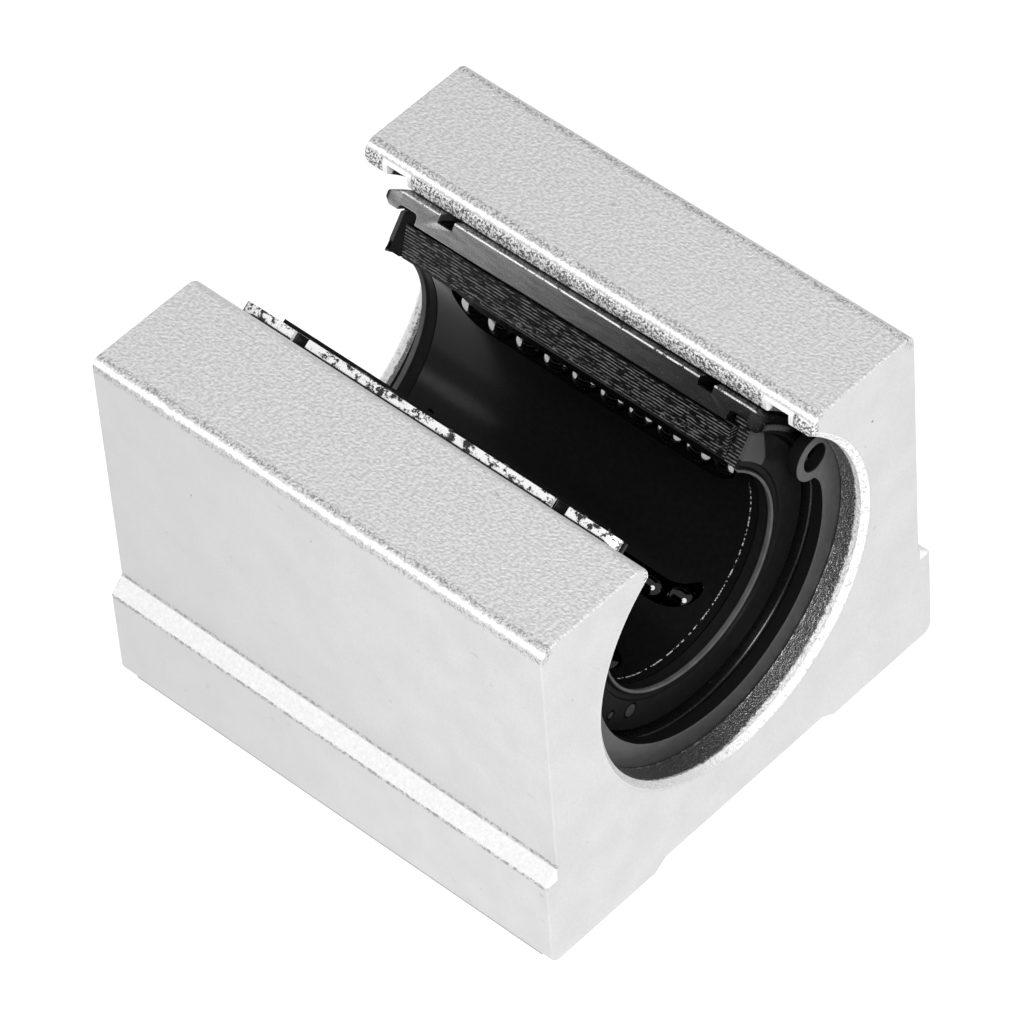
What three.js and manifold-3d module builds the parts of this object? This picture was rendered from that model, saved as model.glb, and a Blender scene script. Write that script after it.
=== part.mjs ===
// Open linear ball bushing in an aluminium pillow block, for a 20 mm supported shaft.
//
// Millimetres. X runs across the block, Y along the shaft and Z up from the mounting face.
// The origin is at the bottom centre of the block. Angles round the shaft are degrees from
// +Z towards +X, so the slot for the shaft's support rail is centred on angle 0.

import * as THREE from 'three';
import { mergeVertices } from 'three/addons/utils/BufferGeometryUtils.js';
import Module from 'manifold-3d';

const wasm = await Module();
wasm.setup();

// ---------------------------------------------------------------- driving dimensions

// Extruded block
const BLOCK_LENGTH = 50;
const BLOCK_HEIGHT = 37.6;
const SHAFT_HEIGHT = 23;
const BASE_HALF_WIDTH = 24;
const BODY_HALF_WIDTH = 22.6;
const STEP_BOTTOM_Z = 9.9;
const STEP_TOP_Z = 11.25;
const BASE_CORNER_RADIUS = 1;
const TOP_CORNER_RADIUS = 0.9;
const SLOT_HALF_WIDTH = 9.9;
const SLOT_NOSE_RADIUS = 1.3;
const RECESS_DEPTH = 0.9;
const RECESS_HALF_WIDTH = 9.9;
const LAND_INNER_HALF_WIDTH = 11.3;

// Bore of the block, with its two snap-ring grooves
const BORE_RADIUS = 16;
const BORE_CHAMFER = 0.5;
const RING_GROOVE_RADIUS = 16.85;
const RING_GROOVE_INNER_Y = 20;
const RING_GROOVE_OUTER_Y = 22.35;

// Tapped holes in the mounting face
const MOUNT_HOLE_SPACING = 35;
const MOUNT_HOLE_RADIUS = 2.5;
const MOUNT_HOLE_DEPTH = 12;
const DRILL_TIP_ANGLE = 118;

// Outer sleeve of the bushing
const SLEEVE_LENGTH = 42;
const SLEEVE_RADIUS = 15.9;
const SLEEVE_BORE_RADIUS = 13.75;
const SLEEVE_CHAMFER_WIDTH = 0.55;
const SLEEVE_CHAMFER_LENGTH = 1.5;
const SLEEVE_MOUTH_RADIUS = 14.2;
const SLEEVE_MOUTH_CHAMFER = 0.5;
const SEAL_POCKET_RADIUS = 14.75;
const SEAL_POCKET_INNER_Y = 17.35;
const SEAL_POCKET_OUTER_Y = 19.4;
const SLEEVE_GROOVE_RADIUS = 15.15;
const SLEEVE_GROOVE_WIDTH = 1.6;
const SLEEVE_GROOVE_SPAN = 30.5;
const RACEWAY_RADIUS = 13.3;
const RACEWAY_HALF_ANGLE = 6;
const RELIEF_RADIUS = 14.4;
const RELIEF_HALF_ANGLE = 9.5;
const OPENING_HALF_ANGLE = 34;

// Ball circuits
const SHAFT_RADIUS = 10;
const BALL_RADIUS = 1.5875;
const BALL_PITCH = 3.2;
const BALLS_PER_LANE = 10;
const LANE_HALF_LENGTH = 12.5;
const LOAD_RADIUS = SHAFT_RADIUS + BALL_RADIUS;
const RETURN_RADIUS = 12.65;
const RETURN_OFFSET_ANGLE = 28;
const TRACK_RADIUS = 1.75;
const TURN_STEPS = 8;
const CIRCUITS = [
  { name: 'upper_right', angle: 86, side: 1 },
  { name: 'lower_right', angle: 158, side: 1 },
  { name: 'lower_left', angle: 158, side: -1 },
  { name: 'upper_left', angle: 86, side: -1 },
];

// Plastic ball retainer
const RETAINER_LENGTH = 36.2;
const RETAINER_RADIUS = 13.55;
const RETAINER_BORE_RADIUS = 10.35;
const RETAINER_OUTER_CUT_ANGLE = 34;
const RETAINER_INNER_CUT_ANGLE = 40;

// Rubber end seals
const SEAL_INNER_Y = 18.2;
const SEAL_OUTER_Y = 19.8;
const SEAL_RADIUS = 14;
const SEAL_BEAD_RADIUS = 14.6;
const SEAL_BEAD_BORE_RADIUS = 13.75;
const SEAL_BEAD_INNER_Y = 17.5;
const SEAL_BEAD_OUTER_Y = 19.25;
const SEAL_BORE_RADIUS = 10.35;
const SEAL_LIP_RADIUS = 10.15;
const SEAL_LIP_WIDTH = 0.5;
const SEAL_HALF_ANGLE = 38.5;

// Snap rings that hold the sleeve in the block
const RING_THICKNESS = 1.2;
const RING_Y = 21.05;
const RING_OUTER_RADIUS = 16.6;
const RING_INNER_RADIUS = 13.8;
const RING_FILLET_ANGLE = 83;
const EAR_ANGLE = 66;
const EAR_CENTRE_RADIUS = 14.3;
const EAR_RADIUS = 2.3;
const EAR_HOLE_RADIUS = 1.3;

// Set screw that keeps the sleeve from turning
const SCREW_RADIUS = 2;
const SCREW_HOLE_RADIUS = 2.15;
const SCREW_BOTTOM_Z = 1.6;
const SCREW_SHOULDER_Z = 6.4;
const SCREW_TIP_Z = 7.6;
const SCREW_TIP_RADIUS = 1;
const SOCKET_RADIUS = 1.15;
const SOCKET_DEPTH = 1.8;
const DIMPLE_RADIUS = 1.8;
const DIMPLE_DEPTH = 0.8;

const ROUND_SEGMENTS = 48;
const HOLE_SEGMENTS = 16;
const OVERCUT = 1;

// ---------------------------------------------------------------- materials

function material(color, roughness, metalness) {
  return new THREE.MeshStandardMaterial({ color, roughness, metalness });
}

const aluminium = material(0xd4d6d8, 0.5, 0.9);
const darkSteel = material(0x2b2c2e, 0.35, 0.9);
const springSteel = material(0x45474a, 0.4, 0.9);
const blackPlastic = material(0x0d0d0e, 0.3, 0);
const blackRubber = material(0x141414, 0.5, 0);
const chromeSteel = material(0xc8cacd, 0.08, 1);
const blackScrew = material(0x1b1b1c, 0.4, 0.9);

// ---------------------------------------------------------------- geometry helpers

const radians = THREE.MathUtils.degToRad;

// A point at a radius and an angle round the shaft, as (x, z).
function polar(radius, angle) {
  const a = radians(angle);
  return new THREE.Vector2(radius * Math.sin(a), SHAFT_HEIGHT + radius * Math.cos(a));
}

// Points along an arc about any centre in the XZ plane.
function arc(x, z, radius, from, to, steps) {
  return Array.from({ length: steps + 1 }, (_, i) => {
    const a = radians(from + (to - from) * i / steps);
    return new THREE.Vector2(x + radius * Math.sin(a), z + radius * Math.cos(a));
  });
}

// An arc about the shaft axis, in steps no longer than those of a full round.
function shaftArc(radius, from, to) {
  const steps = Math.max(1, Math.round(Math.abs(to - from) * ROUND_SEGMENTS / 360));
  return arc(0, SHAFT_HEIGHT, radius, from, to, steps);
}

function mirrored(points) {
  return points.map((p) => new THREE.Vector2(-p.x, p.y)).reverse();
}

// An outline in the XZ plane, extruded along Y. With holes, the outline runs anticlockwise.
function prism(points, y0, y1, holes = []) {
  const shape = new THREE.Shape(points);
  shape.holes = holes.map((hole) => new THREE.Path(hole));
  const geometry = new THREE.ExtrudeGeometry(shape, { depth: y1 - y0, bevelEnabled: false });
  geometry.rotateX(Math.PI / 2);
  geometry.translate(0, y1, 0);
  return geometry;
}

// A profile of (radius, y) points turned about the shaft axis.
function turned(profile) {
  const points = profile.map(([radius, y]) => new THREE.Vector2(radius, y));
  return new THREE.LatheGeometry(points, ROUND_SEGMENTS).translate(0, 0, SHAFT_HEIGHT);
}

// A profile of (radius, z) points turned about a vertical axis.
function turnedUpright(profile, x, y) {
  const points = profile.map(([radius, z]) => new THREE.Vector2(radius, z));
  return new THREE.LatheGeometry(points, HOLE_SEGMENTS).rotateX(Math.PI / 2).translate(x, y, 0);
}

function solid(geometry) {
  const bare = geometry.clone();
  bare.deleteAttribute('normal');
  bare.deleteAttribute('uv');
  const merged = mergeVertices(bare);
  const vertProperties = new Float32Array(merged.attributes.position.array);
  const triVerts = new Uint32Array(merged.index.array);
  return new wasm.Manifold(new wasm.Mesh({ numProp: 3, vertProperties, triVerts }));
}

// The base with each cutter taken away, back as a three.js geometry.
function carved(base, cutters) {
  let result = solid(base);
  for (const cutter of cutters) {
    result = result.subtract(solid(cutter));
  }
  const mesh = result.getMesh();
  const geometry = new THREE.BufferGeometry();
  geometry.setAttribute('position', new THREE.BufferAttribute(mesh.vertProperties, 3));
  geometry.setIndex(new THREE.BufferAttribute(mesh.triVerts, 1));
  geometry.computeVertexNormals();
  return geometry;
}

// The wedge over the shaft that opens a ring between two radial planes.
function openingWedge(halfAngle) {
  const reach = 2 * BORE_RADIUS;
  const points = [new THREE.Vector2(0, SHAFT_HEIGHT), polar(reach, -halfAngle), polar(reach, halfAngle)];
  return prism(points, -BLOCK_LENGTH, BLOCK_LENGTH);
}

// ---------------------------------------------------------------- block

function blockOutline() {
  const footX = BASE_HALF_WIDTH - BASE_CORNER_RADIUS;
  const shoulderX = BODY_HALF_WIDTH - TOP_CORNER_RADIUS;
  const noseX = SLOT_HALF_WIDTH + SLOT_NOSE_RADIUS;
  const right = [
    new THREE.Vector2(RECESS_HALF_WIDTH, RECESS_DEPTH),
    new THREE.Vector2(LAND_INNER_HALF_WIDTH, 0),
    ...arc(footX, BASE_CORNER_RADIUS, BASE_CORNER_RADIUS, 180, 90, 3),
    new THREE.Vector2(BASE_HALF_WIDTH, STEP_BOTTOM_Z),
    new THREE.Vector2(BODY_HALF_WIDTH, STEP_TOP_Z),
    ...arc(shoulderX, BLOCK_HEIGHT - TOP_CORNER_RADIUS, TOP_CORNER_RADIUS, 90, 0, 3),
    ...arc(noseX, BLOCK_HEIGHT - SLOT_NOSE_RADIUS, SLOT_NOSE_RADIUS, 0, -90, 3),
    new THREE.Vector2(SLOT_HALF_WIDTH, SHAFT_HEIGHT),
  ];
  return [...right, ...mirrored(right)];
}

// The bore with its end chamfers and snap-ring grooves, as one turned cutter.
function boreCutter() {
  const end = BLOCK_LENGTH / 2;
  const half = [
    [BORE_RADIUS, RING_GROOVE_INNER_Y],
    [RING_GROOVE_RADIUS, RING_GROOVE_INNER_Y],
    [RING_GROOVE_RADIUS, RING_GROOVE_OUTER_Y],
    [BORE_RADIUS, RING_GROOVE_OUTER_Y],
    [BORE_RADIUS, end - BORE_CHAMFER],
    [BORE_RADIUS + BORE_CHAMFER + OVERCUT, end + OVERCUT],
    [0, end + OVERCUT],
  ];
  const otherHalf = half.map(([radius, y]) => [radius, -y]).reverse();
  return turned([...otherHalf, ...half]);
}

function mountHoleCutter(x, y) {
  const tip = MOUNT_HOLE_RADIUS / Math.tan(radians(DRILL_TIP_ANGLE / 2));
  const profile = [
    [0, -OVERCUT],
    [MOUNT_HOLE_RADIUS, -OVERCUT],
    [MOUNT_HOLE_RADIUS, MOUNT_HOLE_DEPTH],
    [0, MOUNT_HOLE_DEPTH + tip],
  ];
  return turnedUpright(profile, x, y);
}

function screwHoleCutter() {
  const top = SHAFT_HEIGHT - BORE_RADIUS + OVERCUT;
  const profile = [
    [0, -OVERCUT],
    [SCREW_HOLE_RADIUS, -OVERCUT],
    [SCREW_HOLE_RADIUS, top],
    [0, top],
  ];
  return turnedUpright(profile, 0, 0);
}

function blockGeometry() {
  const half = MOUNT_HOLE_SPACING / 2;
  const corners = [[half, half], [half, -half], [-half, half], [-half, -half]];
  return carved(prism(blockOutline(), -BLOCK_LENGTH / 2, BLOCK_LENGTH / 2), [
    boreCutter(),
    ...corners.map(([x, y]) => mountHoleCutter(x, y)),
    screwHoleCutter(),
  ]);
}

// ---------------------------------------------------------------- outer sleeve

function circuitAngles(circuit) {
  return {
    load: circuit.side * circuit.angle,
    back: circuit.side * (circuit.angle - RETURN_OFFSET_ANGLE),
  };
}

// The inside of the sleeve as a stepped round, given its sectors that leave the plain bore.
function steppedRound(sectors) {
  const positive = sectors.map(({ from, to, radius }) => {
    const shift = from < 0 ? 360 : 0;
    return { from: Math.min(from, to) + shift, to: Math.max(from, to) + shift, radius };
  });
  const ordered = positive.sort((a, b) => a.from - b.from);
  const points = [];
  let angle = 0;
  for (const sector of ordered) {
    points.push(...shaftArc(SLEEVE_BORE_RADIUS, angle, sector.from));
    points.push(...shaftArc(sector.radius, sector.from, sector.to));
    angle = sector.to;
  }
  points.push(...shaftArc(SLEEVE_BORE_RADIUS, angle, 360).slice(0, -1));
  return points.reverse();
}

// Raceways stand in from the bore, and reliefs behind the return lanes go out from it.
function racewaySectors() {
  return CIRCUITS.flatMap((circuit) => {
    const { load, back } = circuitAngles(circuit);
    return [
      { from: load - RACEWAY_HALF_ANGLE, to: load + RACEWAY_HALF_ANGLE, radius: RACEWAY_RADIUS },
      { from: back - RELIEF_HALF_ANGLE, to: back + RELIEF_HALF_ANGLE, radius: RELIEF_RADIUS },
    ];
  });
}

// Past the raceways one wide relief lets the balls turn from one lane into the other.
function turnSectors() {
  return CIRCUITS.map((circuit) => {
    const { load, back } = circuitAngles(circuit);
    const margin = circuit.side * RELIEF_HALF_ANGLE;
    return { from: back - margin, to: load + margin, radius: RELIEF_RADIUS };
  });
}

function sleeveBlank() {
  const end = SLEEVE_LENGTH / 2;
  const grooveOuter = SLEEVE_GROOVE_SPAN / 2;
  const grooveInner = grooveOuter - SLEEVE_GROOVE_WIDTH;
  const half = [
    [SLEEVE_RADIUS, grooveInner],
    [SLEEVE_GROOVE_RADIUS, grooveInner],
    [SLEEVE_GROOVE_RADIUS, grooveOuter],
    [SLEEVE_RADIUS, grooveOuter],
    [SLEEVE_RADIUS, end - SLEEVE_CHAMFER_LENGTH],
    [SLEEVE_RADIUS - SLEEVE_CHAMFER_WIDTH, end],
    [RACEWAY_RADIUS, end],
  ];
  const otherHalf = half.map(([radius, y]) => [radius, -y]).reverse();
  return turned([...otherHalf, ...half, otherHalf[0]]);
}

// The end of the bore past the ball circuits: the pocket for a seal, then the chamfered mouth.
function sleeveEndBore(side) {
  const end = SLEEVE_LENGTH / 2;
  const widest = SLEEVE_MOUTH_RADIUS + SLEEVE_MOUTH_CHAMFER;
  const profile = [
    [0, SEAL_POCKET_INNER_Y],
    [SEAL_POCKET_RADIUS, SEAL_POCKET_INNER_Y],
    [SEAL_POCKET_RADIUS, SEAL_POCKET_OUTER_Y],
    [SLEEVE_MOUTH_RADIUS, SEAL_POCKET_OUTER_Y],
    [SLEEVE_MOUTH_RADIUS, end - SLEEVE_MOUTH_CHAMFER],
    [widest, end],
    [widest, end + OVERCUT],
    [0, end + OVERCUT],
  ];
  return turned(side > 0 ? profile : profile.map(([radius, y]) => [radius, -y]).reverse());
}

function dimpleCutter() {
  const surface = SHAFT_HEIGHT - SLEEVE_RADIUS;
  const top = surface + DIMPLE_DEPTH;
  const bottom = surface - OVERCUT;
  const profile = [[0, bottom], [DIMPLE_RADIUS, bottom], [DIMPLE_RADIUS, top], [0, top]];
  return turnedUpright(profile, 0, 0);
}

function sleeveGeometry() {
  const turnEnd = RETAINER_LENGTH / 2;
  return carved(sleeveBlank(), [
    prism(steppedRound(racewaySectors()), -LANE_HALF_LENGTH, LANE_HALF_LENGTH),
    prism(steppedRound(turnSectors()), LANE_HALF_LENGTH, turnEnd),
    prism(steppedRound(turnSectors()), -turnEnd, -LANE_HALF_LENGTH),
    sleeveEndBore(1),
    sleeveEndBore(-1),
    dimpleCutter(),
    openingWedge(OPENING_HALF_ANGLE),
  ]);
}

// ---------------------------------------------------------------- ball circuits

// The centre of a ball that has rolled a distance along its circuit from the lane's middle.
// Past the end of the load lane the track turns through a half circle into the return lane.
function trackPoint(circuit, distance) {
  const turnRadius = radians(RETURN_OFFSET_ANGLE / 2) * (LOAD_RADIUS + RETURN_RADIUS) / 2;
  const past = Math.max(0, Math.abs(distance) - LANE_HALF_LENGTH);
  const turn = past / turnRadius;
  const across = (1 - Math.cos(turn)) / 2;
  const radius = LOAD_RADIUS + (RETURN_RADIUS - LOAD_RADIUS) * across;
  const angle = circuit.side * (circuit.angle - RETURN_OFFSET_ANGLE * across);
  const along = Math.abs(distance) - past + turnRadius * Math.sin(turn);
  const { x, y } = polar(radius, angle);
  return new THREE.Vector3(x, Math.sign(distance) * along, y);
}

// A round channel for the balls along a path.
function channel(path, steps) {
  const section = new THREE.Shape(arc(0, 0, TRACK_RADIUS, 0, -330, 11));
  return new THREE.ExtrudeGeometry(section, { steps, extrudePath: path, bevelEnabled: false });
}

function laneChannel(radius, angle) {
  const { x, y } = polar(radius, angle);
  const reach = LANE_HALF_LENGTH + OVERCUT / 10;
  const ends = [-reach, reach].map((along) => new THREE.Vector3(x, along, y));
  return channel(new THREE.LineCurve3(...ends), 1);
}

function turnChannel(circuit, end) {
  const turnLength = Math.PI * radians(RETURN_OFFSET_ANGLE / 2) * (LOAD_RADIUS + RETURN_RADIUS) / 2;
  const points = Array.from({ length: TURN_STEPS + 1 }, (_, i) => {
    return trackPoint(circuit, end * (LANE_HALF_LENGTH + turnLength * i / TURN_STEPS));
  });
  return channel(new THREE.CatmullRomCurve3(points), TURN_STEPS);
}

// The slot that opens a channel outwards, so that its balls reach the sleeve.
function laneSlot(radius, angle) {
  const outer = RELIEF_RADIUS + OVERCUT;
  const points = [
    new THREE.Vector2(-TRACK_RADIUS, radius),
    new THREE.Vector2(TRACK_RADIUS, radius),
    new THREE.Vector2(TRACK_RADIUS, outer),
    new THREE.Vector2(-TRACK_RADIUS, outer),
  ];
  const slot = prism(points, -LANE_HALF_LENGTH, LANE_HALF_LENGTH);
  return slot.rotateY(radians(angle)).translate(0, 0, SHAFT_HEIGHT);
}

function circuitCutters(circuit) {
  const { load, back } = circuitAngles(circuit);
  return [
    laneChannel(LOAD_RADIUS, load),
    laneSlot(LOAD_RADIUS, load),
    laneChannel(RETURN_RADIUS, back),
    laneSlot(RETURN_RADIUS, back),
    turnChannel(circuit, 1),
    turnChannel(circuit, -1),
  ];
}

// The retainer's cut faces lean in towards the slot, steeper than the sleeve's radial ones.
function retainerOpening() {
  const inner = polar(RETAINER_BORE_RADIUS, RETAINER_INNER_CUT_ANGLE);
  const outer = polar(RETAINER_RADIUS, RETAINER_OUTER_CUT_ANGLE);
  const slope = outer.clone().sub(inner);
  const right = [inner.sub(slope), outer.add(slope)];
  return prism([...right, ...mirrored(right)], -BLOCK_LENGTH, BLOCK_LENGTH);
}

function retainerGeometry() {
  const end = RETAINER_LENGTH / 2;
  const blank = turned([
    [RETAINER_BORE_RADIUS, -end],
    [RETAINER_RADIUS, -end],
    [RETAINER_RADIUS, end],
    [RETAINER_BORE_RADIUS, end],
    [RETAINER_BORE_RADIUS, -end],
  ]);
  return carved(blank, [...CIRCUITS.flatMap(circuitCutters), retainerOpening()]);
}

function ballMesh(circuit, index) {
  const distance = (index - (BALLS_PER_LANE - 1) / 2) * BALL_PITCH;
  const ball = new THREE.Mesh(new THREE.IcosahedronGeometry(BALL_RADIUS, 1), chromeSteel);
  ball.name = `ball_${circuit.name}_${String(index + 1).padStart(2, '0')}`;
  ball.position.copy(trackPoint(circuit, distance));
  return ball;
}

// ---------------------------------------------------------------- seals, snap rings, screw

// A seal's bead sits in the sleeve's pocket, round the end of the retainer. Its lip is inside.
function sealGeometry(side) {
  const profile = [
    [SEAL_BORE_RADIUS, SEAL_INNER_Y],
    [SEAL_BEAD_BORE_RADIUS, SEAL_INNER_Y],
    [SEAL_BEAD_BORE_RADIUS, SEAL_BEAD_INNER_Y],
    [SEAL_BEAD_RADIUS, SEAL_BEAD_INNER_Y],
    [SEAL_BEAD_RADIUS, SEAL_BEAD_OUTER_Y],
    [SEAL_RADIUS, SEAL_BEAD_OUTER_Y],
    [SEAL_RADIUS, SEAL_OUTER_Y],
    [SEAL_LIP_RADIUS, SEAL_OUTER_Y],
    [SEAL_LIP_RADIUS, SEAL_OUTER_Y - SEAL_LIP_WIDTH],
    [SEAL_BORE_RADIUS, SEAL_INNER_Y],
  ];
  const placed = side > 0 ? profile : profile.map(([radius, y]) => [radius, -y]).reverse();
  return carved(turned(placed), [openingWedge(SEAL_HALF_ANGLE)]);
}

// One end of the snap ring: a round ear, blended into the ring's inner edge by a hook.
function ringEar() {
  const ear = polar(EAR_CENTRE_RADIUS, EAR_ANGLE);
  const hookStart = polar(RING_INNER_RADIUS, RING_FILLET_ANGLE);
  const hookBend = polar(RING_INNER_RADIUS, EAR_ANGLE + 12);
  const around = arc(ear.x, ear.y, EAR_RADIUS, EAR_ANGLE + 120, EAR_ANGLE + 355, 10);
  const hook = new THREE.QuadraticBezierCurve(hookStart, hookBend, around[0]);
  return [...hook.getPoints(3), ...around.slice(1)];
}

function ringGeometry(side) {
  const ear = ringEar();
  const outline = [
    ...shaftArc(RING_OUTER_RADIUS, EAR_ANGLE, 360 - EAR_ANGLE),
    ...mirrored(ear),
    ...shaftArc(RING_INNER_RADIUS, 360 - RING_FILLET_ANGLE, RING_FILLET_ANGLE).slice(1, -1),
    ...ear,
  ];
  const holes = [1, -1].map((hand) => {
    const centre = polar(EAR_CENTRE_RADIUS, hand * EAR_ANGLE);
    return arc(centre.x, centre.y, EAR_HOLE_RADIUS, 0, 330, 11);
  });
  const middle = side * (RING_Y + RING_THICKNESS / 2);
  return prism(outline.reverse(), middle - RING_THICKNESS / 2, middle + RING_THICKNESS / 2, holes);
}

function screwGeometry() {
  const body = turnedUpright([
    [0, SCREW_BOTTOM_Z],
    [SCREW_RADIUS, SCREW_BOTTOM_Z],
    [SCREW_RADIUS, SCREW_SHOULDER_Z],
    [SCREW_TIP_RADIUS, SCREW_TIP_Z],
    [0, SCREW_TIP_Z],
  ], 0, 0);
  const socket = new THREE.CylinderGeometry(SOCKET_RADIUS, SOCKET_RADIUS, SOCKET_DEPTH + OVERCUT, 6);
  socket.rotateX(Math.PI / 2);
  socket.translate(0, 0, SCREW_BOTTOM_Z + (SOCKET_DEPTH - OVERCUT) / 2);
  return carved(body, [socket]);
}

// ---------------------------------------------------------------- assembly

function part(name, geometry, surface) {
  const mesh = new THREE.Mesh(geometry, surface);
  mesh.name = name;
  return mesh;
}

const group = new THREE.Group();

group.add(part('bearing_block', blockGeometry(), aluminium));
group.add(part('outer_sleeve', sleeveGeometry(), darkSteel));
group.add(part('ball_retainer', retainerGeometry(), blackPlastic));
group.add(part('locking_set_screw', screwGeometry(), blackScrew));

for (const [end, side] of [['front', -1], ['rear', 1]]) {
  group.add(part(`seal_${end}`, sealGeometry(side), blackRubber));
  group.add(part(`snap_ring_${end}`, ringGeometry(side), springSteel));
}

for (const circuit of CIRCUITS) {
  for (let index = 0; index < BALLS_PER_LANE; index += 1) {
    group.add(ballMesh(circuit, index));
  }
}

export default group;
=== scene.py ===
"""Looks of the open linear ball bushing in its pillow block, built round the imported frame.

Shapes are worked out in millimetres, in the frame's own axes: X across the block, Y along the
shaft, Z up. Angles round the shaft are degrees from +Z towards +X, so the slot is at angle 0.
"""
import math

import bmesh
import bpy
from mathutils import Matrix, Vector


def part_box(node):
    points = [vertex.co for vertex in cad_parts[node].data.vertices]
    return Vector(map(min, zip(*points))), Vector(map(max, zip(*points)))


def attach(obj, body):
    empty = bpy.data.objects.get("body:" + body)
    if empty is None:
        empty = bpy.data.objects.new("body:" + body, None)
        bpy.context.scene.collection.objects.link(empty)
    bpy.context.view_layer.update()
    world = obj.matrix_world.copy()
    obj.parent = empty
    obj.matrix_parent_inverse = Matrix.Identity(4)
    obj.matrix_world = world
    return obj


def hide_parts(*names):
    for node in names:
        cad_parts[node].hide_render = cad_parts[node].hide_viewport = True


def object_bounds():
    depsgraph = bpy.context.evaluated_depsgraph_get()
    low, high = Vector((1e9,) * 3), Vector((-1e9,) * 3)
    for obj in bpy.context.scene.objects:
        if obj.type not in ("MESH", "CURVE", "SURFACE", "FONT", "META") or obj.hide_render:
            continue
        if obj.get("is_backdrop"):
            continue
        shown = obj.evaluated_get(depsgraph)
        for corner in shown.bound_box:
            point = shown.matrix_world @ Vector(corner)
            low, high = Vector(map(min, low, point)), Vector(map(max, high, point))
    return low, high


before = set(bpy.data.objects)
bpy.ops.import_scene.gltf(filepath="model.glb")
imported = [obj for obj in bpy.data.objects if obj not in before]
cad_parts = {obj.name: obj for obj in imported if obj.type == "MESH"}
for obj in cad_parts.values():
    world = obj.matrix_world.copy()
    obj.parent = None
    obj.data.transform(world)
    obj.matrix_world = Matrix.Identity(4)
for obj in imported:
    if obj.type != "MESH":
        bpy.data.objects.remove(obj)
CAD_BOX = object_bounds()

# ---------------------------------------------------------------- sizes from the frame

MM = 0.001


def box_mm(node):
    low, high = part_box(node)
    return low / MM, high / MM


BLOCK_HIGH = box_mm("bearing_block")[1]
HALF_LENGTH = BLOCK_HIGH.y
HEIGHT = BLOCK_HIGH.z
BASE_HALF_WIDTH = BLOCK_HIGH.x

SLEEVE_LOW, SLEEVE_HIGH = box_mm("outer_sleeve")
SLEEVE_RADIUS = SLEEVE_HIGH.x
SLEEVE_HALF_LENGTH = SLEEVE_HIGH.y
AXIS_Z = SLEEVE_LOW.z + SLEEVE_RADIUS

RETAINER_HIGH = box_mm("ball_retainer")[1]
RETAINER_RADIUS = RETAINER_HIGH.x
RETAINER_HALF_LENGTH = RETAINER_HIGH.y

SEAL_LOW, SEAL_HIGH = box_mm("seal_rear")
SEAL_BEAD_RADIUS = SEAL_HIGH.x
SEAL_BEAD_INNER_Y = SEAL_LOW.y
SEAL_OUTER_Y = SEAL_HIGH.y

RING_LOW, RING_HIGH = box_mm("snap_ring_rear")
RING_OUTER_RADIUS = AXIS_Z - RING_LOW.z
RING_INNER_Y = RING_LOW.y
RING_OUTER_Y = RING_HIGH.y

SCREW_LOW, SCREW_HIGH = box_mm("locking_set_screw")
SCREW_RADIUS = SCREW_HIGH.x
SCREW_BOTTOM_Z = SCREW_LOW.z
SCREW_TIP_Z = SCREW_HIGH.z

# ---------------------------------------------------------------- other sizes, in mm

BODY_HALF_WIDTH = BASE_HALF_WIDTH - 1.4
STEP_BOTTOM_Z = 9.9
STEP_TOP_Z = 11.25
SLOT_HALF_WIDTH = 9.9
SLOT_NOSE_RADIUS = 1.3
RECESS_DEPTH = 0.9
RECESS_HALF_WIDTH = 9.9
LAND_INNER_HALF_WIDTH = 11.3
BLOCK_EDGE = 0.22

BORE_RADIUS = 16
BORE_CHAMFER = 0.5
RING_GROOVE_RADIUS = 16.85
RING_GROOVE_INNER_Y = 20
RING_GROOVE_OUTER_Y = 22.35

MOUNT_SPACING = 35
MOUNT_ROOT_RADIUS = 2.5
MOUNT_CREST_RADIUS = 2.95
MOUNT_DEPTH = 12
MOUNT_PITCH = 1
DRILL_TIP = 1.5

SLEEVE_BORE_RADIUS = 13.75
SLEEVE_GROOVE_RADIUS = 15.15
SLEEVE_GROOVE_WIDTH = 1.6
SLEEVE_GROOVE_SPAN = 30.5
SLEEVE_CHAMFER_WIDTH = 0.55
SLEEVE_CHAMFER_LENGTH = 1.5
SLEEVE_MOUTH_RADIUS = 14.2
SLEEVE_MOUTH_CHAMFER = 0.5
SLEEVE_CUT_ANGLE = 34
SLEEVE_LEFT_CUT_ANGLE = 32.8
RACEWAY_RADIUS = 13.3
RACEWAY_HALF_ANGLE = 6
RELIEF_RADIUS = 14.4
RELIEF_HALF_ANGLE = 9.5

RETAINER_BORE_RADIUS = 10.35
RETAINER_INNER_CUT_ANGLE = 40
RETAINER_LEFT_CUT_ANGLES = (31.4, 37.4)
RIB_COUNT = 11
RIB_DEPTH = 0.07

LANE_HALF_LENGTH = 12.5
RETURN_RADIUS = 12.65
RETURN_OFFSET_ANGLE = 28
TRACK_RADIUS = 1.75
BALLS_PER_LANE = 10
RETURN_BALLS = 11

SEAL_DISC_INNER_Y = 18.2
SEAL_RADIUS = 14
SEAL_BEAD_BORE_RADIUS = 13.75
SEAL_BEAD_OUTER_Y = 19.25
SEAL_POCKET_RADIUS = 14.75
SEAL_POCKET_INNER_Y = 17.35
SEAL_POCKET_OUTER_Y = 19.4
SEAL_CUT_ANGLE = 38.5
SEAL_LIP_RADIUS = 10.12
PIPS = [(12, -139.3, 0.62), (12.7, -127, 0.34)]

RING_INNER_RADIUS = 13.8
EAR_ANGLE = 66
EAR_CENTRE_RADIUS = 14.3
EAR_RADIUS = 2.3
EAR_HOLE_RADIUS = 1.3
HOOK_ANGLE = 83

SCREW_HOLE_RADIUS = 2.15
SCREW_PITCH = 0.7
SOCKET_RADIUS = 1.15
SOCKET_DEPTH = 1.8

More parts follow.
